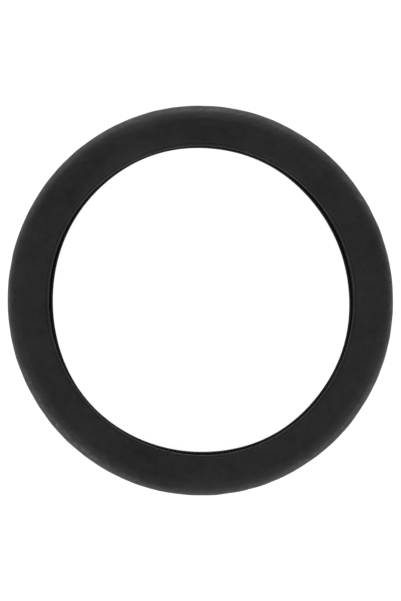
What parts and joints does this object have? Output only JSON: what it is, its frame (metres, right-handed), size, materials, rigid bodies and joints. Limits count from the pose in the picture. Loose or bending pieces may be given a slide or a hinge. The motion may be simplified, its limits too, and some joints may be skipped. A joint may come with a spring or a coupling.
{
  "type": "steering wheel cover",
  "caption": "Matte black silicone ring with a channel open towards its centre, which stretches over the rim of a car's steering wheel as a soft grip.",
  "frame": {"origin": "centre of the ring, on the surface that its back flank lies on", "axes": "+Z is the ring's axis, from the back flank to the front flank; +Y is the top of the wheel as the driver sees it, along the ring's slightly longer diameter; +X is the driver's right"},
  "size_m": [0.3676, 0.3718, 0.034],
  "materials": {
    "silicone": "matte"
  },
  "bodies": {
    "root": {"cover_ring": "silicone"}
  },
  "joints": []
}
